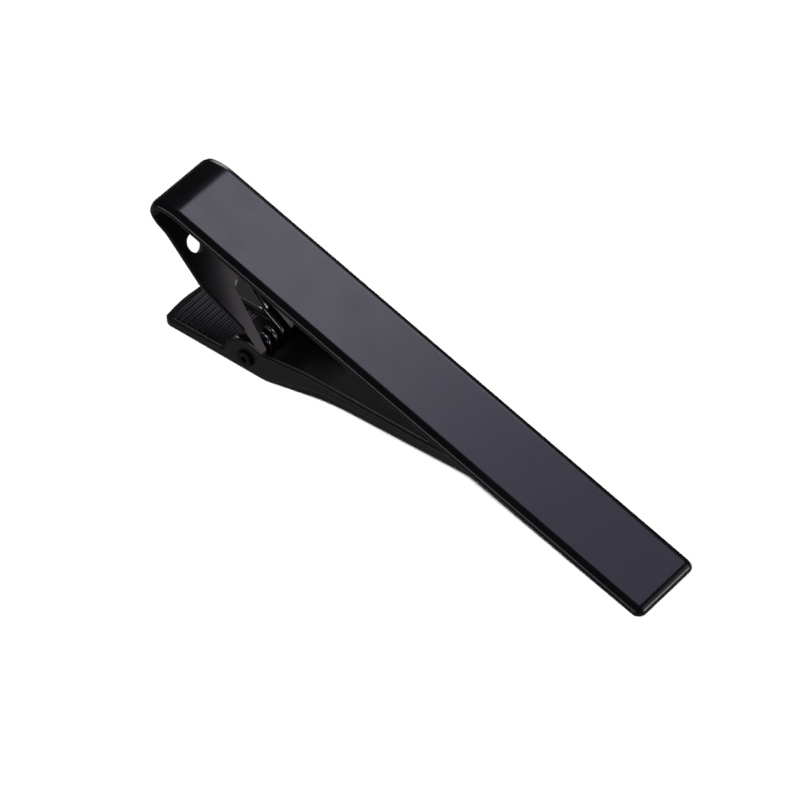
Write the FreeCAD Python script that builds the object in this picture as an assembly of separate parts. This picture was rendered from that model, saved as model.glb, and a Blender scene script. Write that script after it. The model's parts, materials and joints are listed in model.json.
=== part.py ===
import FreeCAD, Part
import math
import os

# Tie clip with a sprung pinch clasp, in millimetres. It is drawn with the front bar level: X runs along
# the bar from the bend to the tip, Y across it, Z out of its front face. The last section lays the whole
# clip down on its thumb pad and bar tip, the way it lies on a table.

# Front strip: bar, bend and return leg are one folded strip
BAR_LENGTH = 58.1
BAR_WIDTH = 8.0
STRIP_THICKNESS = 0.8
BEND_INNER_RADIUS = 0.6
BEND_LEAD_RADIUS = 4.2
BEND_LEAD_ANGLE = 27.5
TIP_FACE_CORNER = 0.05
EDGE_FALL_ACROSS = 0.66
EDGE_FALL_SHARE = 0.33
EDGE_CROWN_RADIUS = 0.9
EDGE_ROUNDING = 0.45
BACK_EDGE_ROUNDING = 0.2
LEG_ANGLE = 30.3
LEG_SIDE_INSET = 0.225
LEG_SHOULDER = 0.5
LEG_NARROWED = 1.8
LEG_CORNER_RADIUS = 4.0
LEG_TAPER_START = 7.8
LEG_LENGTH = 15.9
LEG_HOLE_DIAMETER = 1.85
LEG_HOLE_ALONG = 4.1
LEG_HOLE_SPACING = 3.7
SLOT_START = 9.1
SLOT_START_WIDTH = 1.76
SLOT_END_WIDTH = 3.5
SLOT_END_RADIUS = 0.85
EAR_SPACING = 3.6
EAR_END_RADIUS = 1.0
EAR_CORNER_RADIUS = 0.98
EAR_NECK = 2.4

# Pivot: how far the pin lies from the leg's end and below the leg's inner face
PIN_FROM_LEG_END = 0.33
PIVOT_DROP = 1.41
PIN_DIAMETER = 1.0
PIN_CLEARANCE = 0.05
PIN_HEAD_DIAMETER = 1.8
PIN_HEAD_HEIGHT = 0.3
PIN_BORE_DIAMETER = 0.7
PIN_BORE_DEPTH = 0.9
PIN_HEAD_ROUNDING = 0.12

# Clip lever: a channel of thinner sheet with thumb pad, pivot flanges and jaw
LEVER_SHEET = 0.5
LEVER_SIDE_CLEARANCE = 0.1
LEVER_FOLD_ROUNDING = 0.3
LEVER_RIM_ROUNDING = 0.18
WEB_CLEARANCE = 0.1
PAD_SLOPE = 18.4
PAD_LENGTH = 10.4
PAD_LIP = 0.4
PAD_END_BULGE = 0.35
PAD_END_RADIUS = 12.0
PAD_CORNER_RADIUS = 1.2
HEEL_AHEAD = 2.45
HEEL_SLOPE = 38.4
HEEL_RADIUS = 4.0
WAIST_RADIUS = 16.0
SHOULDER_RADIUS = 6.0
WAIST_AHEAD = 7.92
NOSE_BEND_RADIUS = 3.0
NOSE_LENGTH = 6.3
NOSE_TIP = 42.1
NOSE_SLOPE = 8.7
NOSE_GAP = 0.04
NOSE_CORNER_RADIUS = 1.2
FLANGE_BACK = 2.4
FLANGE_TOP = 1.7
FLANGE_TOP_BACK = 1.1
FLANGE_TOP_FRONT = 1.3
FLANGE_SHOULDER_AHEAD = 5.6
FLANGE_SHOULDER_HEIGHT = 2.3
FLANGE_STOP = 2.7
FLANGE_ROUNDING = 0.9

# Pressed ribs across the thumb pad
RIB_COUNT = 10
RIB_PITCH = 0.63
RIB_RADIUS = 0.26
RIB_HEIGHT = 0.18
RIB_GROOVE = 0.16
RIB_SIDE_MARGIN = 0.25
RIB_END_MARGIN = 0.95

# Torsion spring on the pin
WIRE_DIAMETER = 0.4
COIL_MEAN_RADIUS = 0.85
COIL_WHOLE_TURNS = 2
COIL_SPREAD = 2.25
LEG_ARM_LENGTH = 6.6
LEG_ARM_STRAIGHT = 4.0
PAD_ARM_LENGTH = 3.1
PAD_ARM_STRAIGHT = 0.9
ARM_CLEARANCE = 0.03
SAMPLE_STEP = 0.05

# How near a place counts as lying on a face or line
NEAR = 0.01
CLOSE = 1e-6

Y_AXIS = FreeCAD.Vector(0, 1, 0)
LEG_WIDTH = BAR_WIDTH - 2 * LEG_SIDE_INSET
BAR_HALF = BAR_WIDTH / 2
LEG_HALF = LEG_WIDTH / 2
BEND_OUTER_RADIUS = BEND_INNER_RADIUS + STRIP_THICKNESS
LEAD_OUTER_RADIUS = BEND_LEAD_RADIUS + STRIP_THICKNESS
EAR_INNER = EAR_SPACING / 2
EAR_OUTER = EAR_INNER + STRIP_THICKNESS
LEVER_INNER = EAR_OUTER + LEVER_SIDE_CLEARANCE
LEVER_OUTER = LEVER_INNER + LEVER_SHEET
PIVOT_ALONG = LEG_LENGTH - PIN_FROM_LEG_END
LEG_TAPER_END = PIVOT_ALONG - FLANGE_BACK
COIL_OUTER_RADIUS = COIL_MEAN_RADIUS + WIRE_DIAMETER / 2
PAD_DROP = max(EAR_END_RADIUS, COIL_OUTER_RADIUS) + WEB_CLEARANCE + LEVER_SHEET
NOSE_START = NOSE_TIP - NOSE_LENGTH
FLANGE_END = NOSE_START - FLANGE_STOP
FAR_BEYOND = 30.0


def point(x, z, y=0.0):
    return FreeCAD.Vector(x, y, z)


def rounded_wire(corners):
    """Closed wire through (corner, radius) pairs, with a tangent arc at each corner that has a radius."""
    edges = []
    ends = []
    count = len(corners)
    for i in range(count):
        corner, radius = corners[i]
        before = (corners[i - 1][0] - corner).normalize()
        after = (corners[(i + 1) % count][0] - corner).normalize()
        if radius == 0:
            ends.append((corner, corner))
            continue
        half = before.getAngle(after) / 2
        start = corner + before * (radius / math.tan(half))
        end = corner + after * (radius / math.tan(half))
        middle_way = (before + after).normalize()
        middle = corner + middle_way * (radius / math.sin(half) - radius)
        edges.append((i, Part.Arc(start, middle, end).toShape()))
        ends.append((start, end))
    arcs = dict(edges)
    ordered = []
    for i in range(count):
        if i in arcs:
            ordered.append(arcs[i])
        start = ends[i][1]
        end = ends[(i + 1) % count][0]
        if start.distanceToPoint(end) > CLOSE:
            ordered.append(Part.LineSegment(start, end).toShape())
    return Part.Wire(ordered)


def side_plate(corners, y_from, y_to):
    """Prism across Y from a rounded outline in the XZ plane."""
    moved = [(corner + FreeCAD.Vector(0, y_from, 0), radius) for corner, radius in corners]
    return Part.Face(rounded_wire(moved)).extrude(FreeCAD.Vector(0, y_to - y_from, 0))


def along(place, slope, x):
    """Point at a given x on the line through a place of the XZ plane, with its slope in degrees."""
    return point(x, place.z + math.tan(math.radians(slope)) * (x - place.x))


def crossing(first, first_slope, second, second_slope):
    """Point of the XZ plane where two lines, each given by a place and a slope in degrees, meet."""
    a = math.tan(math.radians(first_slope))
    b = math.tan(math.radians(second_slope))
    x = (second.z - first.z + a * first.x - b * second.x) / (a - b)
    return along(first, first_slope, x)


def lifted(place, slope, height):
    """Place moved up square to a line of the given slope."""
    return place + FreeCAD.Rotation(Y_AXIS, -slope).multVec(point(0, height))


def round_point(centre, radius, turned):
    """Point on a bend of the strip, turned in degrees from the front face towards the leg."""
    return centre + FreeCAD.Rotation(Y_AXIS, -turned).multVec(point(0, radius))


# Bend: it leaves the front face on a wide arc and then turns on a tight one to the leg
lead_centre = point(0, -LEAD_OUTER_RADIUS)
bend_centre = round_point(lead_centre, LEAD_OUTER_RADIUS - BEND_OUTER_RADIUS, BEND_LEAD_ANGLE)
to_origin = point(BEND_OUTER_RADIUS - bend_centre.x, 0)
lead_centre += to_origin
bend_centre += to_origin
bend_turn = 180 - LEG_ANGLE

# Leg frame: its X runs down the leg from the bend, its Z stands on the leg's inner face
leg_turn = FreeCAD.Rotation(Y_AXIS, LEG_ANGLE)
leg_normal = leg_turn.multVec(FreeCAD.Vector(0, 0, 1))
leg_start = bend_centre - leg_normal * BEND_INNER_RADIUS
leg_frame = FreeCAD.Placement(leg_start, leg_turn)
pivot = leg_frame.multVec(point(PIVOT_ALONG, -PIVOT_DROP))

# Front bar and bend: a band of even thickness along the side view, extruded across the width
tip_front = point(BAR_LENGTH, 0)
tip_back = point(BAR_LENGTH, -STRIP_THICKNESS)
lead_top = point(lead_centre.x, 0)
lead_top_inner = point(lead_centre.x, -STRIP_THICKNESS)
lead_end = round_point(bend_centre, BEND_OUTER_RADIUS, BEND_LEAD_ANGLE)
lead_end_inner = round_point(bend_centre, BEND_INNER_RADIUS, BEND_LEAD_ANGLE)
half_lead = BEND_LEAD_ANGLE / 2
half_bend = (BEND_LEAD_ANGLE + bend_turn) / 2
bend_foot = round_point(bend_centre, BEND_OUTER_RADIUS, bend_turn)
strip_side = Part.Wire([
    Part.LineSegment(tip_front, lead_top).toShape(),
    Part.Arc(lead_top, round_point(lead_centre, LEAD_OUTER_RADIUS, half_lead), lead_end).toShape(),
    Part.Arc(lead_end, round_point(bend_centre, BEND_OUTER_RADIUS, half_bend), bend_foot).toShape(),
    Part.LineSegment(bend_foot, leg_start).toShape(),
    Part.Arc(leg_start, round_point(bend_centre, BEND_INNER_RADIUS, half_bend), lead_end_inner).toShape(),
    Part.Arc(lead_end_inner, round_point(lead_centre, BEND_LEAD_RADIUS, half_lead), lead_top_inner).toShape(),
    Part.LineSegment(lead_top_inner, tip_back).toShape(),
    Part.LineSegment(tip_back, tip_front).toShape(),
])
strip = Part.Face(strip_side).extrude(FreeCAD.Vector(0, BAR_WIDTH, 0))
strip.translate(FreeCAD.Vector(0, -BAR_HALF, 0))

# Return leg: a flat web that narrows from the bar's width to the ears
leg_plan = rounded_wire([
    (FreeCAD.Vector(0, -BAR_HALF, 0), 0),
    (FreeCAD.Vector(LEG_SHOULDER, -BAR_HALF, 0), LEG_CORNER_RADIUS),
    (FreeCAD.Vector(LEG_NARROWED, -LEG_HALF, 0), LEG_CORNER_RADIUS),
    (FreeCAD.Vector(LEG_TAPER_START, -LEG_HALF, 0), LEG_CORNER_RADIUS),
    (FreeCAD.Vector(LEG_TAPER_END, -EAR_OUTER, 0), LEG_CORNER_RADIUS),
    (FreeCAD.Vector(LEG_LENGTH, -EAR_OUTER, 0), 0),
    (FreeCAD.Vector(LEG_LENGTH, EAR_OUTER, 0), 0),
    (FreeCAD.Vector(LEG_TAPER_END, EAR_OUTER, 0), LEG_CORNER_RADIUS),
    (FreeCAD.Vector(LEG_TAPER_START, LEG_HALF, 0), LEG_CORNER_RADIUS),
    (FreeCAD.Vector(LEG_NARROWED, LEG_HALF, 0), LEG_CORNER_RADIUS),
    (FreeCAD.Vector(LEG_SHOULDER, BAR_HALF, 0), LEG_CORNER_RADIUS),
    (FreeCAD.Vector(0, BAR_HALF, 0), 0),
])
leg = Part.Face(leg_plan).extrude(FreeCAD.Vector(0, 0, -STRIP_THICKNESS))
leg.Placement = leg_frame
front_bar = strip.fuse(leg).removeSplitter()

# Section of the strip's outside edge: the face falls away on a wide round to a slope and a tight round to the
# side. The wide round leaves room on the slope for the tight one, which leaves some flat of the side
fall_depth = STRIP_THICKNESS * EDGE_FALL_SHARE
fall_length = math.hypot(EDGE_FALL_ACROSS, fall_depth)
fall_bend = math.tan(math.atan2(fall_depth, EDGE_FALL_ACROSS) / 2)
side_bend = math.tan(math.atan2(EDGE_FALL_ACROSS, fall_depth) / 2)
side_room = STRIP_THICKNESS - BACK_EDGE_ROUNDING - fall_depth - NEAR
outside_rounding = min(EDGE_ROUNDING, side_room / side_bend)
crown_room = fall_length - outside_rounding * side_bend - NEAR
crown_radius = min(EDGE_CROWN_RADIUS, crown_room / fall_bend)
crown_reach = EDGE_FALL_ACROSS + crown_radius * fall_bend

# Rounded corners at the bar's tip, seen from the front: the flat of the front face keeps a small corner
tip_corners = []
for edge in front_bar.Edges:
    box = edge.BoundBox
    if box.XMin > BAR_LENGTH - NEAR and box.YLength < NEAR:
        tip_corners.append(edge)
front_bar = front_bar.makeFillet(TIP_FACE_CORNER + crown_reach, tip_corners)

# Edges that run along the strip at one depth under its outside face, from the tip round the bend to the leg
leg_inverse = leg_frame.inverse()


def border_edges(depth, inset):
    """Edges at a depth under the outside face that lie no further in from the strip's sides than an inset."""
    found = []
    for edge in front_bar.Edges:
        middle = edge.valueAt((edge.FirstParameter + edge.LastParameter) / 2)
        in_leg = leg_inverse.multVec(middle)
        at_side = abs(middle.y) > EAR_OUTER - inset - NEAR
        at_tip = middle.x > BAR_LENGTH - inset - NEAR
        on_bar = abs(middle.z + depth) < NEAR and middle.x > lead_centre.x - NEAR and (at_side or at_tip)
        in_round = at_side and middle.x < lead_centre.x
        turned = math.degrees(math.atan2(lead_centre.x - middle.x, middle.z - lead_centre.z))
        lead_depth = LEAD_OUTER_RADIUS - (middle - lead_centre - Y_AXIS * middle.y).Length
        bend_depth = BEND_OUTER_RADIUS - (middle - bend_centre - Y_AXIS * middle.y).Length
        on_lead = in_round and turned < BEND_LEAD_ANGLE and abs(lead_depth - depth) < NEAR
        on_bend = in_round and turned > BEND_LEAD_ANGLE and abs(bend_depth - depth) < NEAR
        on_leg = at_side and abs(in_leg.z + STRIP_THICKNESS - depth) < NEAR and in_leg.x > NEAR
        if on_bar or on_lead or on_bend or on_leg:
            found.append(edge)
    return found


# Softened outside edges, cut to the slope and rounded on both its borders, and lightly broken inside edges
front_bar = front_bar.makeChamfer(EDGE_FALL_ACROSS, fall_depth, border_edges(0, 0))
front_bar = front_bar.makeFillet(crown_radius, border_edges(0, EDGE_FALL_ACROSS))
front_bar = front_bar.makeFillet(outside_rounding, border_edges(fall_depth, 0))
front_bar = front_bar.makeFillet(BACK_EDGE_ROUNDING, border_edges(STRIP_THICKNESS, 0))

# Slot for the spring, open at the leg's end, and the two round holes beside the bend
slot_half_start = SLOT_START_WIDTH / 2
slot_half_end = SLOT_END_WIDTH / 2
slot_reach = LEG_LENGTH + EAR_END_RADIUS
slot_rounding = min(SLOT_END_RADIUS, slot_half_start)
slot_wire = rounded_wire([
    (FreeCAD.Vector(SLOT_START, -slot_half_start, 0), slot_rounding),
    (FreeCAD.Vector(LEG_LENGTH, -slot_half_end, 0), 0),
    (FreeCAD.Vector(slot_reach, -slot_half_end, 0), 0),
    (FreeCAD.Vector(slot_reach, slot_half_end, 0), 0),
    (FreeCAD.Vector(LEG_LENGTH, slot_half_end, 0), 0),
    (FreeCAD.Vector(SLOT_START, slot_half_start, 0), slot_rounding),
])
leg_cuts = [Part.Face(slot_wire).extrude(FreeCAD.Vector(0, 0, -STRIP_THICKNESS))]
for side in (-1, 1):
    foot = FreeCAD.Vector(LEG_HOLE_ALONG, side * LEG_HOLE_SPACING / 2, -STRIP_THICKNESS)
    leg_cuts.append(Part.makeCylinder(LEG_HOLE_DIAMETER / 2, STRIP_THICKNESS, foot))
for cut in leg_cuts:
    cut.Placement = leg_frame.multiply(cut.Placement)
front_bar = front_bar.cut(leg_cuts)

# Pivot ears: tabs folded down from the leg's end, round at the pin
ear_low = -PIVOT_DROP - EAR_END_RADIUS
ear_front = PIVOT_ALONG + EAR_END_RADIUS
ear_rounding = min(EAR_CORNER_RADIUS, EAR_END_RADIUS - NEAR)
ear_corners = [
    (point(LEG_LENGTH, 0), 0),
    (point(ear_front, -STRIP_THICKNESS), 0),
    (point(ear_front, ear_low), ear_rounding),
    (point(PIVOT_ALONG - EAR_END_RADIUS, ear_low), ear_rounding),
    (point(PIVOT_ALONG - EAR_NECK, -STRIP_THICKNESS), 0),
    (point(LEG_TAPER_END, 0), 0),
]
pin_hole = Part.makeCylinder(PIN_DIAMETER / 2 + PIN_CLEARANCE, BAR_WIDTH, pivot - Y_AXIS * BAR_HALF, Y_AXIS)
for y_from, y_to in ((-EAR_OUTER, -EAR_INNER), (EAR_INNER, EAR_OUTER)):
    ear = side_plate(ear_corners, y_from, y_to)
    ear.Placement = leg_frame
    front_bar = front_bar.fuse(ear)
front_bar = front_bar.cut(pin_hole).removeSplitter()

# Lever's side view: its lower line runs under the pin along the pad, up the heel, along the jaw to the nose
pad_turn = FreeCAD.Rotation(Y_AXIS, -PAD_SLOPE)
under_pin = lifted(pivot, PAD_SLOPE, -PAD_DROP)
pad_end = under_pin - pad_turn.multVec(point(PAD_LENGTH, 0))
heel = along(under_pin, PAD_SLOPE, pivot.x + HEEL_AHEAD)
nose_top = point(NOSE_TIP, -STRIP_THICKNESS - NOSE_GAP)
nose_low = nose_top - point(0, LEVER_SHEET)
nose_bend = along(nose_low, NOSE_SLOPE, NOSE_START)
waist = along(heel, HEEL_SLOPE, pivot.x + WAIST_AHEAD)
JAW_SLOPE = math.degrees(math.atan2(nose_bend.z - waist.z, nose_bend.x - waist.x))

# The same line one sheet thickness higher: the inner face of the lever's web
pad_inner = lifted(pad_end, PAD_SLOPE, LEVER_SHEET)
heel_inner = crossing(pad_inner, PAD_SLOPE, lifted(heel, HEEL_SLOPE, LEVER_SHEET), HEEL_SLOPE)
jaw_inner = lifted(nose_bend, JAW_SLOPE, LEVER_SHEET)
waist_inner = crossing(heel_inner, HEEL_SLOPE, jaw_inner, JAW_SLOPE)
nose_bend_inner = crossing(jaw_inner, JAW_SLOPE, nose_top, NOSE_SLOPE)

# Upper line of the flanges: a low lip along the pad, high round the pin, falling away along the jaw
lip_top = lifted(pad_end, PAD_SLOPE, LEVER_SHEET + PAD_LIP)
flange_back = pivot.x - FLANGE_BACK
lip_end = along(lip_top, PAD_SLOPE, flange_back)
flange_top = pivot.z + FLANGE_TOP
shoulder_x = pivot.x + FLANGE_SHOULDER_AHEAD
shoulder = along(heel, HEEL_SLOPE, shoulder_x) + point(0, FLANGE_SHOULDER_HEIGHT)
lever_outline = [
    (pad_end, 0),
    (heel, HEEL_RADIUS),
    (waist, WAIST_RADIUS),
    (nose_bend, NOSE_BEND_RADIUS),
    (nose_low, 0),
    (nose_top, 0),
    (nose_bend_inner, NOSE_BEND_RADIUS - LEVER_SHEET),
    (along(jaw_inner, JAW_SLOPE, FLANGE_END), FLANGE_ROUNDING),
    (shoulder, SHOULDER_RADIUS),
    (point(pivot.x + FLANGE_TOP_FRONT, flange_top), FLANGE_ROUNDING),
    (point(pivot.x - FLANGE_TOP_BACK, flange_top), FLANGE_ROUNDING),
    (point(flange_back, pivot.z), FLANGE_ROUNDING),
    (lip_end, FLANGE_ROUNDING),
    (lip_top, 0),
]
channel_outline = [
    (pad_inner - pad_turn.multVec(point(FAR_BEYOND, 0)), 0),
    (heel_inner, HEEL_RADIUS - LEVER_SHEET),
    (waist_inner, WAIST_RADIUS + LEVER_SHEET),
    (nose_bend_inner, NOSE_BEND_RADIUS - LEVER_SHEET),
    (nose_top, 0),
    (nose_top + point(FAR_BEYOND, 0), 0),
    (nose_top + point(FAR_BEYOND, FAR_BEYOND), 0),
    (pad_inner + point(-FAR_BEYOND, FAR_BEYOND), 0),
]
clip_lever = side_plate(lever_outline, -LEVER_OUTER, LEVER_OUTER)

# Rounded folds between the web and the flanges and rounded outer rims, then the channel between the flanges
side_face = Part.Face(rounded_wire(lever_outline))


def lengthwise_edges(side):
    """Edges along the lever with sheet on one side of them in height only: above for 1 and below for -1."""
    found = []
    for edge in clip_lever.Edges:
        middle = edge.valueAt((edge.FirstParameter + edge.LastParameter) / 2)
        in_sheet = point(middle.x, middle.z + side * NEAR)
        in_air = point(middle.x, middle.z - side * NEAR)
        lengthwise = edge.BoundBox.YLength < NEAR and edge.BoundBox.XLength > LEVER_SHEET
        at_border = side_face.isInside(in_sheet, CLOSE, True) and not side_face.isInside(in_air, CLOSE, True)
        if lengthwise and at_border:
            found.append(edge)
    return found


rim_rounding = min(LEVER_RIM_ROUNDING, LEVER_SHEET - LEVER_FOLD_ROUNDING - 2 * NEAR)
clip_lever = clip_lever.makeFillet(LEVER_FOLD_ROUNDING, lengthwise_edges(1))
clip_lever = clip_lever.makeFillet(rim_rounding, lengthwise_edges(-1))
clip_lever = clip_lever.cut(side_plate(channel_outline, -LEVER_INNER, LEVER_INNER))

# Pressed ribs across the pad: a ridge on its inner face over a groove in its outer face
pad_frame = FreeCAD.Placement(pad_end, pad_turn)
rib_half = LEVER_INNER - RIB_SIDE_MARGIN
ridges = []
grooves = []
for i in range(RIB_COUNT):
    rib_x = RIB_END_MARGIN + i * RIB_PITCH
    ridge_foot = FreeCAD.Vector(rib_x, -rib_half, LEVER_SHEET + RIB_HEIGHT - RIB_RADIUS)
    groove_foot = FreeCAD.Vector(rib_x, -rib_half, RIB_GROOVE - RIB_RADIUS)
    ridges.append(Part.makeCylinder(RIB_RADIUS, 2 * rib_half, ridge_foot, Y_AXIS))
    grooves.append(Part.makeCylinder(RIB_RADIUS, 2 * rib_half, groove_foot, Y_AXIS))
for rib in ridges + grooves:
    rib.Placement = pad_frame.multiply(rib.Placement)
clip_lever = clip_lever.fuse(ridges).cut(grooves)

# Rounded plan of the pad's end and of the nose, and the pin's holes
around = LEVER_OUTER + LEVER_SHEET
pad_corner_x = PAD_END_BULGE + 2 * PAD_CORNER_RADIUS
pad_trim_wire = rounded_wire([
    (FreeCAD.Vector(pad_corner_x, LEVER_OUTER, 0), 0),
    (FreeCAD.Vector(PAD_END_BULGE, LEVER_OUTER, 0), PAD_CORNER_RADIUS),
    (FreeCAD.Vector(0, 0, 0), PAD_END_RADIUS),
    (FreeCAD.Vector(PAD_END_BULGE, -LEVER_OUTER, 0), PAD_CORNER_RADIUS),
    (FreeCAD.Vector(pad_corner_x, -LEVER_OUTER, 0), 0),
    (FreeCAD.Vector(pad_corner_x, -around, 0), 0),
    (FreeCAD.Vector(-around, -around, 0), 0),
    (FreeCAD.Vector(-around, around, 0), 0),
    (FreeCAD.Vector(pad_corner_x, around, 0), 0),
])
pad_trim = Part.Face(pad_trim_wire).extrude(FreeCAD.Vector(0, 0, 2 * around))
pad_trim.translate(FreeCAD.Vector(0, 0, -around))
pad_trim.Placement = pad_frame.multiply(pad_trim.Placement)
nose_corner_x = NOSE_TIP - 2 * NOSE_CORNER_RADIUS
nose_trim_wire = rounded_wire([
    (FreeCAD.Vector(nose_corner_x, LEVER_OUTER, nose_low.z), 0),
    (FreeCAD.Vector(NOSE_TIP, LEVER_OUTER, nose_low.z), NOSE_CORNER_RADIUS),
    (FreeCAD.Vector(NOSE_TIP, -LEVER_OUTER, nose_low.z), NOSE_CORNER_RADIUS),
    (FreeCAD.Vector(nose_corner_x, -LEVER_OUTER, nose_low.z), 0),
    (FreeCAD.Vector(nose_corner_x, -around, nose_low.z), 0),
    (FreeCAD.Vector(NOSE_TIP + around, -around, nose_low.z), 0),
    (FreeCAD.Vector(NOSE_TIP + around, around, nose_low.z), 0),
    (FreeCAD.Vector(nose_corner_x, around, nose_low.z), 0),
])
nose_trim = Part.Face(nose_trim_wire).extrude(FreeCAD.Vector(0, 0, 2 * around))
nose_trim.translate(FreeCAD.Vector(0, 0, -around))
rivet_hole = Part.makeCylinder(PIN_DIAMETER / 2, 2 * around, pivot - Y_AXIS * around, Y_AXIS)
clip_lever = clip_lever.cut([pad_trim, nose_trim, rivet_hole]).removeSplitter()

# Pivot pin: a rivet with a flat ring-shaped head outside each flange, its ends bored out
pin_half = LEVER_OUTER + PIN_HEAD_HEIGHT
pivot_pin = Part.makeCylinder(PIN_DIAMETER / 2, 2 * LEVER_OUTER, pivot - Y_AXIS * LEVER_OUTER, Y_AXIS)
for side in (-1, 1):
    outward = Y_AXIS * side
    seat = pivot + outward * LEVER_OUTER
    head = Part.makeCylinder(PIN_HEAD_DIAMETER / 2, PIN_HEAD_HEIGHT, seat, outward)
    rims = [edge for edge in head.Edges if abs(edge.BoundBox.Center.y) > pin_half - NEAR]
    head = head.makeFillet(PIN_HEAD_ROUNDING, rims)
    bore = Part.makeCylinder(PIN_BORE_DIAMETER / 2, PIN_BORE_DEPTH, pivot + outward * pin_half, outward * -1)
    pivot_pin = pivot_pin.fuse(head).cut(bore)
pivot_pin = pivot_pin.removeSplitter()


def arc_from(start, control, end):
    """Arc from start to end that is tangent there to the two equal lines through the control point."""
    chord_middle = (start + end) / 2
    rise = control - chord_middle
    half_chord = start.distanceToPoint(end) / 2
    sagitta = half_chord * math.tan(math.atan2(rise.Length, half_chord) / 2)
    return Part.Arc(start, chord_middle + rise.normalize() * sagitta, end).toShape()


def biarc(start, start_way, end, end_way):
    """Two tangent arcs from one point and unit direction to another."""
    span = end - start
    ways = start_way + end_way
    spread = 2 * (1 - start_way.dot(end_way))
    if spread < CLOSE:
        reach = span.dot(span) / (4 * span.dot(end_way))
    else:
        reach = (math.sqrt(span.dot(ways) ** 2 + spread * span.dot(span)) - span.dot(ways)) / spread
    start_control = start + start_way * reach
    end_control = end - end_way * reach
    joint = (start_control + end_control) / 2
    return [arc_from(start, start_control, joint), arc_from(joint, end_control, end)]


# Torsion spring: an arm under the leg, turns round the pin, and a short arm on the pad. The arm lies on the
# flat beside the ribs, or on the ribs where they reach under it.
leg_way = leg_turn.multVec(FreeCAD.Vector(1, 0, 0))
pad_way = pad_turn.multVec(FreeCAD.Vector(-1, 0, 0))
leg_arm_y = Y_AXIS * (COIL_SPREAD / 2)
pad_arm_y = Y_AXIS * (-COIL_SPREAD / 2)
leg_arm_drop = STRIP_THICKNESS + ARM_CLEARANCE + WIRE_DIAMETER / 2
leg_arm_tip = leg_frame.multVec(point(PIVOT_ALONG - LEG_ARM_LENGTH, -leg_arm_drop)) + leg_arm_y
leg_arm_end = leg_arm_tip + leg_way * LEG_ARM_STRAIGHT
ribs_reach = RIB_END_MARGIN + (RIB_COUNT - 1) * RIB_PITCH + RIB_RADIUS
arm_on_ribs = ribs_reach > PAD_LENGTH - PAD_ARM_LENGTH - ARM_CLEARANCE
pad_arm_seat = LEVER_SHEET + RIB_HEIGHT if arm_on_ribs else LEVER_SHEET
pad_arm_height = PAD_DROP - pad_arm_seat - ARM_CLEARANCE - WIRE_DIAMETER / 2
pad_arm_tip = lifted(pivot, PAD_SLOPE, -pad_arm_height) + pad_way * PAD_ARM_LENGTH + pad_arm_y
pad_arm_start = pad_arm_tip - pad_way * PAD_ARM_STRAIGHT
coil_first = 90 - LEG_ANGLE
coil_last = PAD_SLOPE - 90 - 360 * COIL_WHOLE_TURNS
quarters = math.ceil((coil_first - coil_last) / 90)
pitch = COIL_SPREAD / ((coil_first - coil_last) / 360)
coil_places = []
coil_ways = []
for i in range(quarters + 1):
    share = i / quarters
    turn = math.radians(coil_first + (coil_last - coil_first) * share)
    round_pin = point(math.cos(turn), math.sin(turn)) * COIL_MEAN_RADIUS
    sideways = Y_AXIS * (COIL_SPREAD * (0.5 - share))
    coil_places.append(pivot + round_pin + sideways)
    rise = 0 if i in (0, quarters) else pitch / (2 * math.pi * COIL_MEAN_RADIUS)
    coil_ways.append((point(math.sin(turn), -math.cos(turn)) - Y_AXIS * rise).normalize())
wire_path = [Part.LineSegment(leg_arm_tip, leg_arm_end).toShape()]
wire_path += biarc(leg_arm_end, leg_way, coil_places[0], coil_ways[0])
for i in range(quarters):
    wire_path += biarc(coil_places[i], coil_ways[i], coil_places[i + 1], coil_ways[i + 1])
wire_path += biarc(coil_places[-1], coil_ways[-1], pad_arm_start, pad_way)
wire_path.append(Part.LineSegment(pad_arm_start, pad_arm_tip).toShape())
wire_section = Part.Wire(Part.makeCircle(WIRE_DIAMETER / 2, leg_arm_tip, leg_way))
torsion_spring = Part.Wire(wire_path).makePipeShell([wire_section], True, False)

# Least gap of the wire to itself, measured on points along it, and its tightest bend
samples = []
travelled = 0.0
tightest = FAR_BEYOND
for edge in wire_path:
    steps = max(2, math.ceil(edge.Length / SAMPLE_STEP))
    for i in range(steps):
        share = edge.FirstParameter + (edge.LastParameter - edge.FirstParameter) * i / steps
        samples.append((travelled + edge.Length * i / steps, edge.valueAt(share)))
    travelled += edge.Length
    if isinstance(edge.Curve, Part.Circle):
        tightest = min(tightest, edge.Curve.Radius)
least_gap = FAR_BEYOND
for i, (reach, place) in enumerate(samples):
    for other_reach, other in samples[i + 1:]:
        if other_reach - reach > math.pi * COIL_MEAN_RADIUS:
            least_gap = min(least_gap, place.distanceToPoint(other) - WIRE_DIAMETER)
wire_volume = math.pi * (WIRE_DIAMETER / 2) ** 2 * travelled
print(f"spring: least gap {least_gap:.3f} mm, tightest bend {tightest:.3f} mm, wire {travelled:.1f} mm")
print(f"spring: volume {torsion_spring.Volume:.3f} of {wire_volume:.3f} mm3")

# Lay the clip on its pad's end and its bar's tip, with the origin under the middle of its box
tip_rest = tip_back + point(-BACK_EDGE_ROUNDING, BACK_EDGE_ROUNDING)
rest_span = tip_rest - pad_end
rest_slope = math.atan2(rest_span.z, rest_span.x)
lie_angle = math.degrees(rest_slope - math.asin(BACK_EDGE_ROUNDING / rest_span.Length))
pieces = {
    "front_bar": front_bar,
    "clip_lever": clip_lever,
    "pivot_pin": pivot_pin,
    "torsion_spring": torsion_spring,
}
lying = FreeCAD.Placement(FreeCAD.Vector(0, 0, 0), FreeCAD.Rotation(Y_AXIS, lie_angle))
laid = Part.makeCompound([piece.transformed(lying.toMatrix()) for piece in pieces.values()])
box = laid.optimalBoundingBox()
lying.Base = FreeCAD.Vector(-box.Center.x, -box.Center.y, -box.ZMin)

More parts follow.
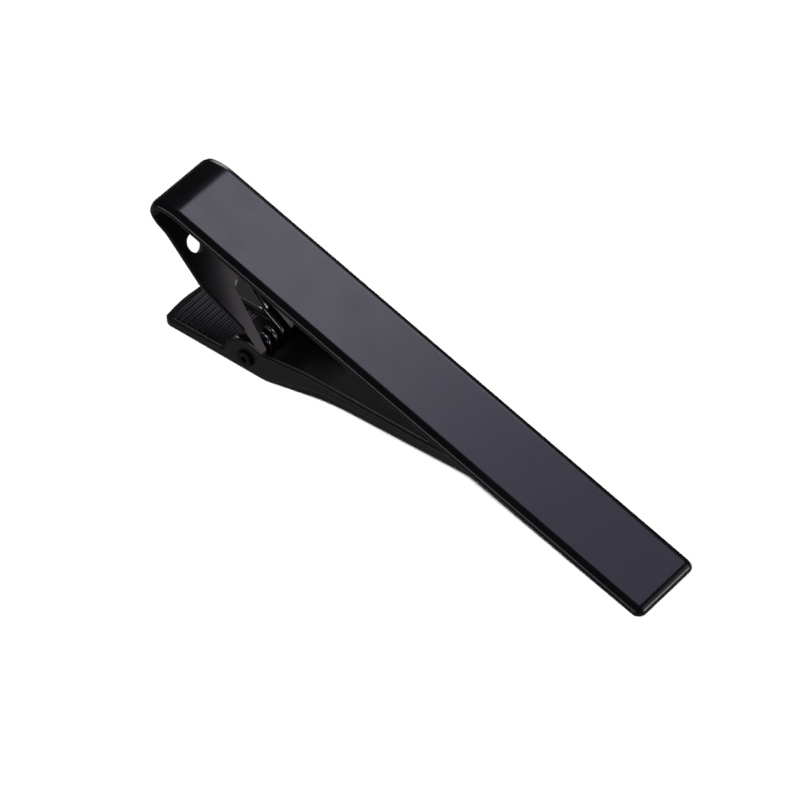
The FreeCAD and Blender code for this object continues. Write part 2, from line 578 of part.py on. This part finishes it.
os.makedirs("parts", exist_ok=True)
for name, piece in pieces.items():
    piece.transformed(lying.toMatrix()).exportStep(f"parts/{name}.step")
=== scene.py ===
import json
import math

import bpy
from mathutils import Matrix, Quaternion, Vector


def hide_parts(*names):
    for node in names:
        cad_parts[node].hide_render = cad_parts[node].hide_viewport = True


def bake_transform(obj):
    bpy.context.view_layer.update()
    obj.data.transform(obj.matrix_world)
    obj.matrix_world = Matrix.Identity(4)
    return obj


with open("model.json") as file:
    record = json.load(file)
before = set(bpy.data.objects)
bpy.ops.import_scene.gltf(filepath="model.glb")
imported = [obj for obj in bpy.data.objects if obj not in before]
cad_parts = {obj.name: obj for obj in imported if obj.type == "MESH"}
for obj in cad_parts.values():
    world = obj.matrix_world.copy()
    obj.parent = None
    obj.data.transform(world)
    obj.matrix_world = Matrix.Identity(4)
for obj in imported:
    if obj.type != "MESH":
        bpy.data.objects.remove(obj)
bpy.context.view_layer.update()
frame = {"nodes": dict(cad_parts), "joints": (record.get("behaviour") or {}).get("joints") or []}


# Front bar: one brass strip that is cut out and folded into bar, bend, return leg and pivot ears, and then
# sprayed with satin black lacquer and stoved. The film is thin and even, so the cut edges stay crisp, with a
# small round that catches a line of light.
MM = 0.001
BAR_EDGE_ROUND = 0.06 * MM
SAME_POINT = 0.001 * MM
FLAT_ANGLE = math.radians(0.2)
CUT_EDGE_ANGLE = math.radians(40)
BAR_LACQUER = "#060608"
BAR_LACQUER_DEEP = "#030304"
BAR_GLOSSIEST = 0.18
BAR_DULLEST = 0.28
LACQUER_IOR = 1.5
LACQUER_CLOUD = 3.0 * MM
ORANGE_PEEL = 0.45 * MM
PEEL_HEIGHT = 0.004 * MM
SPRAY_GRIT = 0.14 * MM
GRIT_HEIGHT = 0.002 * MM


def linear(hex_colour):
    """Linear RGBA of an sRGB hex colour."""
    shares = [int(hex_colour[i:i + 2], 16) / 255 for i in (1, 3, 5)]
    rgb = [c / 12.92 if c <= 0.04045 else ((c + 0.055) / 1.055) ** 2.4 for c in shares]
    return (*rgb, 1.0)


def add_node(tree, kind, settings, links):
    """Adds a node to a tree, sets its inputs or properties and links other nodes' outputs to it."""
    node = tree.nodes.new(kind)
    for name, value in settings.items():
        if name in node.inputs:
            node.inputs[name].default_value = value
        else:
            setattr(node, name, value)
    for name, output in links.items():
        tree.links.new(output, node.inputs[name])
    return node


def new_material(name):
    """Empty material and its node tree."""
    material = bpy.data.materials.new(name)
    material.use_nodes = True
    material.node_tree.nodes.clear()
    return material, material.node_tree


def soften_cut_edges(piece, radius, give_way):
    """Small even round on a pressed part's sharp edges, with flat faces that stay flat to the eye. Rounds
    that give way grow narrower all over the piece where two of them would meet."""
    joined = piece.modifiers.new("joined_faces", "WELD")
    joined.merge_threshold = SAME_POINT
    whole = piece.modifiers.new("whole_flats", "DECIMATE")
    whole.decimate_type = "DISSOLVE"
    whole.angle_limit = FLAT_ANGLE
    rounded = piece.modifiers.new("edge_round", "BEVEL")
    rounded.width = radius
    rounded.segments = 3
    rounded.limit_method = "ANGLE"
    rounded.angle_limit = CUT_EDGE_ANGLE
    rounded.use_clamp_overlap = give_way
    shaded = piece.modifiers.new("even_shading", "WEIGHTED_NORMAL")
    shaded.weight = 100


def satin_lacquer(name, colour, deep_colour, glossiest, dullest):
    """Satin stoving lacquer over metal: near black, with a soft sheen that spreads the light and, close up,
    the faint cloud and orange peel that a sprayed film keeps. The grit is drawn coarser than the real one."""
    material, tree = new_material(name)
    place = add_node(tree, "ShaderNodeTexCoord", {}, {})
    cloud = add_node(tree, "ShaderNodeTexNoise",
                     {"Scale": 1 / LACQUER_CLOUD, "Detail": 3.0, "Roughness": 0.5},
                     {"Vector": place.outputs["Object"]})
    peel = add_node(tree, "ShaderNodeTexNoise",
                    {"Scale": 1 / ORANGE_PEEL, "Detail": 1.0, "Roughness": 0.4},
                    {"Vector": place.outputs["Object"]})
    grit = add_node(tree, "ShaderNodeTexNoise",
                    {"Scale": 1 / SPRAY_GRIT, "Detail": 1.0, "Roughness": 0.5},
                    {"Vector": place.outputs["Object"]})
    tint = add_node(tree, "ShaderNodeValToRGB", {}, {"Fac": cloud.outputs["Fac"]})
    tint.color_ramp.elements[0].color = linear(deep_colour)
    tint.color_ramp.elements[1].color = linear(colour)
    blur = add_node(tree, "ShaderNodeMapRange", {"To Min": glossiest, "To Max": dullest},
                    {"Value": cloud.outputs["Fac"]})
    waves = add_node(tree, "ShaderNodeBump", {"Strength": 0.25, "Distance": PEEL_HEIGHT},
                     {"Height": peel.outputs["Fac"]})
    grain = add_node(tree, "ShaderNodeBump", {"Strength": 0.2, "Distance": GRIT_HEIGHT},
                     {"Height": grit.outputs["Fac"], "Normal": waves.outputs["Normal"]})
    shader = add_node(tree, "ShaderNodeBsdfPrincipled", {"IOR": LACQUER_IOR, "Metallic": 0.0},
                      {"Base Color": tint.outputs["Color"], "Roughness": blur.outputs["Result"],
                       "Normal": grain.outputs["Normal"]})
    add_node(tree, "ShaderNodeOutputMaterial", {}, {"Surface": shader.outputs["BSDF"]})
    return material


front_bar = frame["nodes"]["front_bar"]
soften_cut_edges(front_bar, BAR_EDGE_ROUND, give_way=True)
front_bar.data.materials[0] = satin_lacquer("satin_black_lacquer_bar", BAR_LACQUER, BAR_LACQUER_DEEP,
                                            BAR_GLOSSIEST, BAR_DULLEST)


# Clip lever: a channel pressed from thinner brass sheet, with ribs pressed across the thumb pad and two
# flanges pierced for the pin. It is lacquered with the bar, a little drier in the channel, so its sheen is
# duller.
LEVER_EDGE_ROUND = 0.10 * MM
LEVER_LACQUER = "#060506"
LEVER_LACQUER_DEEP = "#030303"
LEVER_GLOSSIEST = 0.30
LEVER_DULLEST = 0.46

clip_lever = frame["nodes"]["clip_lever"]
soften_cut_edges(clip_lever, LEVER_EDGE_ROUND, give_way=False)
clip_lever.data.materials[0] = satin_lacquer("satin_black_lacquer_lever", LEVER_LACQUER, LEVER_LACQUER_DEEP,
                                             LEVER_GLOSSIEST, LEVER_DULLEST)


# Pivot pin: a semi-tubular steel rivet, blackened and set over both flanges. Its heads are flat rings with a
# bored middle, and setting leaves turned rings on them.
PIN_EDGE_ROUND = 0.03 * MM
PIN_BLACK = "#1b1a1c"
PIN_WORN = "#3a393b"
PIN_ROUGHNESS = 0.34
TURNED_RING = 0.754 * MM
TURNED_DEPTH = 0.004 * MM
WAVE_RADIANS = 20

pivot_at = Vector(frame["joints"][0]["pos_m"])
pivot_pin = frame["nodes"]["pivot_pin"]
soften_cut_edges(pivot_pin, PIN_EDGE_ROUND, give_way=True)

# Blackened steel: dark bare metal with rings that catch the light, drawn wider apart than real tool marks.
# The wave texture turns by a fixed number of radians in each unit of its scale.
blackened_steel, pin_tree = new_material("blackened_steel_rivet")
pin_place = add_node(pin_tree, "ShaderNodeTexCoord", {}, {})
about_pin = add_node(pin_tree, "ShaderNodeMapping", {"Location": -pivot_at},
                     {"Vector": pin_place.outputs["Object"]})
turned = add_node(pin_tree, "ShaderNodeTexWave",
                  {"wave_type": "RINGS", "rings_direction": "Y",
                   "Scale": 2 * math.pi / TURNED_RING / WAVE_RADIANS, "Distortion": 0.6, "Detail": 1.0},
                  {"Vector": about_pin.outputs["Vector"]})
pin_tint = add_node(pin_tree, "ShaderNodeValToRGB", {}, {"Fac": turned.outputs["Fac"]})
pin_tint.color_ramp.elements[0].color = linear(PIN_BLACK)
pin_tint.color_ramp.elements[1].color = linear(PIN_WORN)
pin_marks = add_node(pin_tree, "ShaderNodeBump", {"Strength": 0.3, "Distance": TURNED_DEPTH},
                     {"Height": turned.outputs["Fac"]})
pin_shader = add_node(pin_tree, "ShaderNodeBsdfPrincipled", {"Metallic": 1.0, "Roughness": PIN_ROUGHNESS},
                      {"Base Color": pin_tint.outputs["Color"], "Normal": pin_marks.outputs["Normal"]})
add_node(pin_tree, "ShaderNodeOutputMaterial", {}, {"Surface": pin_shader.outputs["BSDF"]})
pivot_pin.data.materials[0] = blackened_steel


# Torsion spring: blackened steel wire wound round the pin between the ears, with one arm under the leg and
# one on the pad. It is one length of wire, so it is one unbroken tube, drawn at rest; the real spring winds
# up as the clasp opens.
WIRE_RADIUS = 0.2 * MM
WIRE_END_CHAMFER = 0.05 * MM
COIL_RADIUS = 0.85 * MM
COIL_SPREAD = 2.25 * MM
WHOLE_TURNS = 2
LEG_SLOPE = math.radians(-46.419)
PAD_SLOPE = math.radians(2.281)
LEG_ARM_RISE = 0.38 * MM
LEG_ARM_LENGTH = 6.6 * MM
LEG_ARM_STRAIGHT = 4.0 * MM
PAD_ARM_FALL = 0.92 * MM
PAD_ARM_LENGTH = 3.1 * MM
PAD_ARM_STRAIGHT = 0.9 * MM
RING_POINTS = 16
STEPS_PER_TURN = 48
ARM_STEPS = 12
EASE_STEPS = 20
WIRE_BRIGHT = "#a09fa3"
WIRE_DULL = "#747377"
WIRE_GLOSSIEST = 0.18
WIRE_DULLEST = 0.26
DRAW_LINE = 0.08 * MM
DRAW_DEPTH = 0.003 * MM


def in_side_view(direction, reach, height, y):
    """Point a reach along and a height square to a direction of the side view, from the pin's axis."""
    x = math.cos(direction) * reach - math.sin(direction) * height
    z = math.sin(direction) * reach + math.cos(direction) * height
    return pivot_at + Vector((x, y, z))


def ease(start, start_way, end, end_way, steps):
    """Points of a smooth curve between two places that leaves and arrives along the given ways."""
    pull = (end - start).length
    points = []
    for i in range(1, steps):
        t = i / steps
        points.append(start * (2 * t**3 - 3 * t**2 + 1) + start_way * pull * (t**3 - 2 * t**2 + t)
                      + end * (3 * t**2 - 2 * t**3) + end_way * pull * (t**3 - t**2))
    return points


leg_way = Vector((math.cos(LEG_SLOPE), 0, math.sin(LEG_SLOPE)))
pad_way = Vector((-math.cos(PAD_SLOPE), 0, -math.sin(PAD_SLOPE)))
first_turn = LEG_SLOPE + math.pi / 2
last_turn = PAD_SLOPE - math.pi / 2 - 2 * math.pi * WHOLE_TURNS
coil = []
coil_steps = round((first_turn - last_turn) / (2 * math.pi) * STEPS_PER_TURN)
for i in range(coil_steps + 1):
    share = i / coil_steps
    turn = first_turn + (last_turn - first_turn) * share
    coil.append(in_side_view(turn, COIL_RADIUS, 0, COIL_SPREAD * (0.5 - share)))
leg_tip = in_side_view(LEG_SLOPE, -LEG_ARM_LENGTH, LEG_ARM_RISE, COIL_SPREAD / 2)
leg_end = leg_tip + leg_way * LEG_ARM_STRAIGHT
pad_tip = in_side_view(PAD_SLOPE, -PAD_ARM_LENGTH, -PAD_ARM_FALL, -COIL_SPREAD / 2)
pad_start = pad_tip - pad_way * PAD_ARM_STRAIGHT
wire_line = [leg_tip + leg_way * LEG_ARM_STRAIGHT * i / ARM_STEPS for i in range(ARM_STEPS + 1)]
wire_line += ease(leg_end, leg_way, coil[0], leg_way, EASE_STEPS)
wire_line += coil
wire_line += ease(coil[-1], pad_way, pad_start, pad_way, EASE_STEPS)
wire_line += [pad_start + pad_way * PAD_ARM_STRAIGHT * i / ARM_STEPS for i in range(ARM_STEPS + 1)]

# The tube's rings, each with its place, way, side and radius, and a smaller ring at both chamfered ends
rings = []
side = Vector((0, 1, 0))
for i, place in enumerate(wire_line):
    way = (wire_line[min(i + 1, len(wire_line) - 1)] - wire_line[max(i - 1, 0)]).normalized()
    side = (side - way * side.dot(way)).normalized()
    rings.append((place, way, side, WIRE_RADIUS))
first_place, first_way, first_side, _ = rings[0]
last_place, last_way, last_side, _ = rings[-1]
rings[0] = (first_place + first_way * WIRE_END_CHAMFER, first_way, first_side, WIRE_RADIUS)
rings[-1] = (last_place - last_way * WIRE_END_CHAMFER, last_way, last_side, WIRE_RADIUS)
rings.insert(0, (first_place, first_way, first_side, WIRE_RADIUS - WIRE_END_CHAMFER))
rings.append((last_place, last_way, last_side, WIRE_RADIUS - WIRE_END_CHAMFER))
wire_points = []
for place, way, across, radius in rings:
    over = way.cross(across)
    for j in range(RING_POINTS):
        angle = 2 * math.pi * j / RING_POINTS
        wire_points.append(place + (across * math.cos(angle) + over * math.sin(angle)) * radius)
wire_faces = []
for i in range(len(rings) - 1):
    near = i * RING_POINTS
    far = near + RING_POINTS
    for j in range(RING_POINTS):
        k = (j + 1) % RING_POINTS
        wire_faces.append((near + j, near + k, far + k, far + j))
wire_faces.append(tuple(reversed(range(RING_POINTS))))
wire_faces.append(tuple(range(len(wire_points) - RING_POINTS, len(wire_points))))
wire_mesh = bpy.data.meshes.new("spring_wire")
wire_mesh.from_pydata(wire_points, [], wire_faces)
wire_mesh.polygons.foreach_set("use_smooth", [len(face) == 4 for face in wire_faces])
wire_mesh.update()
spring = bpy.data.objects.new("spring", wire_mesh)
bpy.context.collection.objects.link(spring)

# Blackened drawn wire: dark metal with bright arcs of light, broken by draw lines that are coarser than real
black_wire, wire_tree = new_material("blackened_spring_wire")
wire_place = add_node(wire_tree, "ShaderNodeTexCoord", {}, {})
draw_lines = add_node(wire_tree, "ShaderNodeTexNoise", {"Scale": 1 / DRAW_LINE, "Detail": 2.0},
                      {"Vector": wire_place.outputs["Object"]})
wire_tint = add_node(wire_tree, "ShaderNodeValToRGB", {}, {"Fac": draw_lines.outputs["Fac"]})
wire_tint.color_ramp.elements[0].color = linear(WIRE_DULL)
wire_tint.color_ramp.elements[1].color = linear(WIRE_BRIGHT)
wire_blur = add_node(wire_tree, "ShaderNodeMapRange", {"To Min": WIRE_GLOSSIEST, "To Max": WIRE_DULLEST},
                     {"Value": draw_lines.outputs["Fac"]})
wire_marks = add_node(wire_tree, "ShaderNodeBump", {"Strength": 0.2, "Distance": DRAW_DEPTH},
                      {"Height": draw_lines.outputs["Fac"]})
wire_shader = add_node(wire_tree, "ShaderNodeBsdfPrincipled", {"Metallic": 1.0},
                       {"Base Color": wire_tint.outputs["Color"], "Roughness": wire_blur.outputs["Result"],
                        "Normal": wire_marks.outputs["Normal"]})
add_node(wire_tree, "ShaderNodeOutputMaterial", {}, {"Surface": wire_shader.outputs["BSDF"]})
wire_mesh.materials.append(black_wire)
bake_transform(spring)
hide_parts("torsion_spring")


# Floor: a wide sheet of plain white paper under the clip. The lacquer doesn't mirror it, as if black card
# stood close round the clip.
FLOOR_HALF = 2.0
PAPER = "#f3f3f2"
PAPER_ROUGHNESS = 0.95

floor_mesh = bpy.data.meshes.new("paper_sheet")
floor_corners = [(-FLOOR_HALF, -FLOOR_HALF, 0), (FLOOR_HALF, -FLOOR_HALF, 0),
                 (FLOOR_HALF, FLOOR_HALF, 0), (-FLOOR_HALF, FLOOR_HALF, 0)]
floor_mesh.from_pydata(floor_corners, [], [(0, 1, 2, 3)])
floor = bpy.data.objects.new("floor", floor_mesh)
bpy.context.collection.objects.link(floor)
floor.visible_glossy = False

# Matt paper: an even white without any gloss
white_paper, paper_tree = new_material("matt_white_paper")
paper_shader = add_node(paper_tree, "ShaderNodeBsdfPrincipled",
                        {"Base Color": linear(PAPER), "Roughness": PAPER_ROUGHNESS,
                         "Specular IOR Level": 0.0}, {})
add_node(paper_tree, "ShaderNodeOutputMaterial", {}, {"Surface": paper_shader.outputs["BSDF"]})
floor_mesh.materials.append(white_paper)


# Light: one key from the front and above, whose shadow falls behind the clip, and softboxes that only the
# lacquer and the metal mirror. A dim room stands round them, a little brighter below the horizon.
KEY_ANGLE = math.radians(3)
KEY_STRENGTH = 4.1
KEY_WAY = Vector((-0.111, 0.511, -0.852))
ROOM_FILL = 0.03
ROOM_WHITE = "#ffffff"
ROOM_SHEEN = "#fbf6fd"
SHEEN_ABOVE = 0.035
SHEEN_BELOW = 0.16
SHEEN_BELOW_HEIGHT = -0.25
SHEEN_ABOVE_HEIGHT = 0.05


def softbox(name, aim, way, distance, width, height, radiance, colour):
    """Flat lamp that faces a point of the clip from the given way, with lengths in mm and the brightness that
    it shows. It lights nothing that is matt."""
    lamp = bpy.data.lights.new(name, "AREA")
    lamp.shape = "RECTANGLE"
    lamp.size = width * MM
    lamp.size_y = height * MM
    lamp.energy = radiance * math.pi * lamp.size * lamp.size_y
    lamp.color = linear(colour)[:3]
    holder = bpy.data.objects.new(name, lamp)
    bpy.context.collection.objects.link(holder)
    outward = Vector(way).normalized()
    holder.location = (Vector(aim) + outward * distance) * MM
    holder.rotation_euler = (-outward).to_track_quat("-Z", "Y").to_euler()
    holder.visible_diffuse = False


key_lamp = bpy.data.lights.new("front_key", "SUN")
key_lamp.energy = KEY_STRENGTH
key_lamp.angle = KEY_ANGLE
key = bpy.data.objects.new("front_key", key_lamp)
bpy.context.collection.objects.link(key)
key.rotation_euler = KEY_WAY.to_track_quat("-Z", "Y").to_euler()
key.visible_glossy = False
softbox("back_softbox_left", aim=(-29, 0, 12), way=(0, 0.656, 0.755), distance=300, width=70, height=200,
        radiance=3.6, colour="#eeebff")
softbox("back_softbox_right", aim=(51, 0, 6), way=(0, 0.574, 0.819), distance=300, width=90, height=140,
        radiance=1.2, colour="#dcd6ff")
softbox("side_card", aim=(-20, 0, 8), way=(0.79, 0.55, 0.28), distance=300, width=140, height=110,
        radiance=1.6, colour="#ffeefb")
softbox("side_strip", aim=(28, 0, 1), way=(0.83, 0.52, 0.19), distance=250, width=100, height=80,
        radiance=5.0, colour="#ffffff")
softbox("front_strip", aim=(0, 0, 8), way=(-0.18, -0.90, 0.40), distance=350, width=500, height=70,
        radiance=3.0, colour="#ffffff")
softbox("low_back_strip", aim=(-5, 0, 4), way=(-0.50, 0.83, 0.25), distance=300, width=100, height=90,
        radiance=3.6, colour="#ffffff")

world = bpy.data.worlds.new("room")
bpy.context.scene.world = world
world.use_nodes = True
room = world.node_tree
room.nodes.clear()
ray = add_node(room, "ShaderNodeLightPath", {}, {})
way_seen = add_node(room, "ShaderNodeTexCoord", {}, {})
heights = add_node(room, "ShaderNodeSeparateXYZ", {}, {"Vector": way_seen.outputs["Generated"]})
sheen = add_node(room, "ShaderNodeMapRange",
                 {"From Min": SHEEN_BELOW_HEIGHT, "From Max": SHEEN_ABOVE_HEIGHT,
                  "To Min": SHEEN_BELOW, "To Max": SHEEN_ABOVE},
                 {"Value": heights.outputs["Z"]})
fill = add_node(room, "ShaderNodeBackground", {"Color": linear(ROOM_WHITE), "Strength": ROOM_FILL}, {})
mirrored = add_node(room, "ShaderNodeBackground", {"Color": linear(ROOM_SHEEN)},
                    {"Strength": sheen.outputs["Result"]})
seen = add_node(room, "ShaderNodeMixShader", {}, {"Fac": ray.outputs["Is Glossy Ray"]})
room.links.new(fill.outputs["Background"], seen.inputs[1])
room.links.new(mirrored.outputs["Background"], seen.inputs[2])
add_node(room, "ShaderNodeOutputWorld", {}, {"Surface": seen.outputs["Shader"]})


# Camera: the photograph's own place and lens, from the right of the near side and above. The lens is long,
# so the bar's two long edges run almost parallel.
AIM = Vector((-4.645, 3.152, 0)) * MM
AZIMUTH = math.radians(38.882)
ELEVATION = math.radians(46.780)
ROLL = math.radians(0.550)
DISTANCE = 535.82 * MM
LENS_MM = 267.627
SENSOR_MM = 36.0

lens = bpy.data.cameras.new("camera")
lens.sensor_width = SENSOR_MM
lens.lens = LENS_MM
lens.clip_start = 0.01
lens.clip_end = 20.0
camera = bpy.data.objects.new("camera", lens)
bpy.context.collection.objects.link(camera)
back = Vector((math.sin(AZIMUTH) * math.cos(ELEVATION), -math.cos(AZIMUTH) * math.cos(ELEVATION),
               math.sin(ELEVATION)))
camera.location = AIM + back * DISTANCE
camera.rotation_euler = ((-back).to_track_quat("-Z", "Y") @ Quaternion((0, 0, 1), ROLL)).to_euler()
bpy.context.scene.camera = camera
bpy.context.scene.view_settings.view_transform = "Standard"
